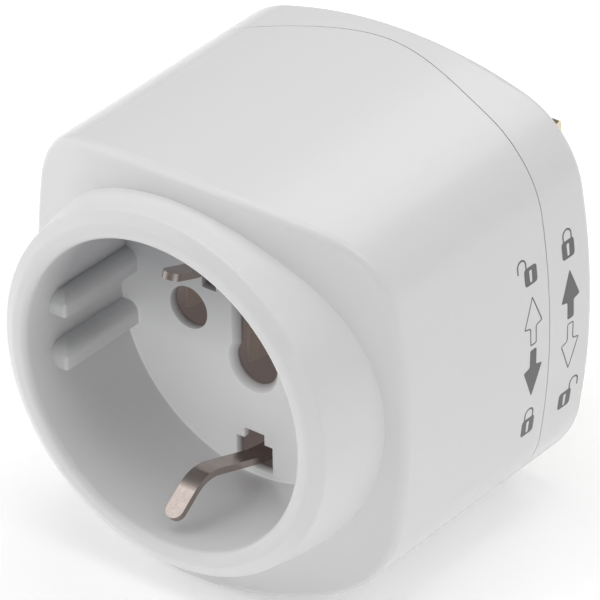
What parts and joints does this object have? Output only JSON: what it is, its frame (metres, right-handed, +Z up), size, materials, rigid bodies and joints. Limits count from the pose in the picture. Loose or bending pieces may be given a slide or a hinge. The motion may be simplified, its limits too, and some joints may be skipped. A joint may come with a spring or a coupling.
{
  "type": "travel adapter",
  "caption": "Square travel plug adapter with a round multi-standard socket in front and a sliding rear module with flat blades and an earth pin.",
  "frame": {"origin": "centre of the flat wall face of the plug module's raised boss", "axes": "+Y points from the socket into the wall, +Z is up, +X is to the right of someone who faces the socket"},
  "size_m": [0.0548, 0.073, 0.0548],
  "materials": {
    "housing": "satin gloss white plastic",
    "module": "satin gloss white plastic",
    "carrier": "matte dark insulating plastic",
    "nickel": "nickel-plated spring strip",
    "brass": "stamped brass",
    "steel": "zinc-plated steel"
  },
  "bodies": {
    "adapter": {"front_cover": "housing", "main_housing": "housing", "socket_insert": "housing", "contact_carrier": "carrier", "live_contact": "brass", "neutral_contact": "brass", "earth_bridge": "brass", "live_wiper": "brass", "neutral_wiper": "brass", "earth_wiper": "brass", "contact_rivets": "brass", "carrier_screws": "steel", "housing_screws": "steel", "latch_spring": "steel"},
    "plug_module": {"module_cover": "module", "module_base": "module", "blade_holder": "carrier", "live_blade": "brass", "neutral_blade": "brass", "ground_pin": "brass", "live_link": "brass", "neutral_link": "brass", "earth_link": "brass", "module_screws": "steel"},
    "upper_clip": {"earth_clip_top": "nickel"},
    "lower_clip": {"earth_clip_bottom": "nickel"}
  },
  "joints": [
    {"name": "module_slide", "type": "slide", "parent": "adapter", "child": "plug_module", "axis": [0, 0, -1], "range_m": [0, 0.008]},
    {"name": "upper_clip_flex", "type": "hinge", "parent": "adapter", "child": "upper_clip", "pos_m": [0, -0.0294, 0.01765], "axis": [-1, 0, 0], "range_deg": [0, 8], "stiffness_Nm_per_rad": 0.3},
    {"name": "lower_clip_flex", "type": "hinge", "parent": "adapter", "child": "lower_clip", "pos_m": [0, -0.0294, -0.01765], "axis": [1, 0, 0], "range_deg": [0, 4], "stiffness_Nm_per_rad": 0.3}
  ]
}
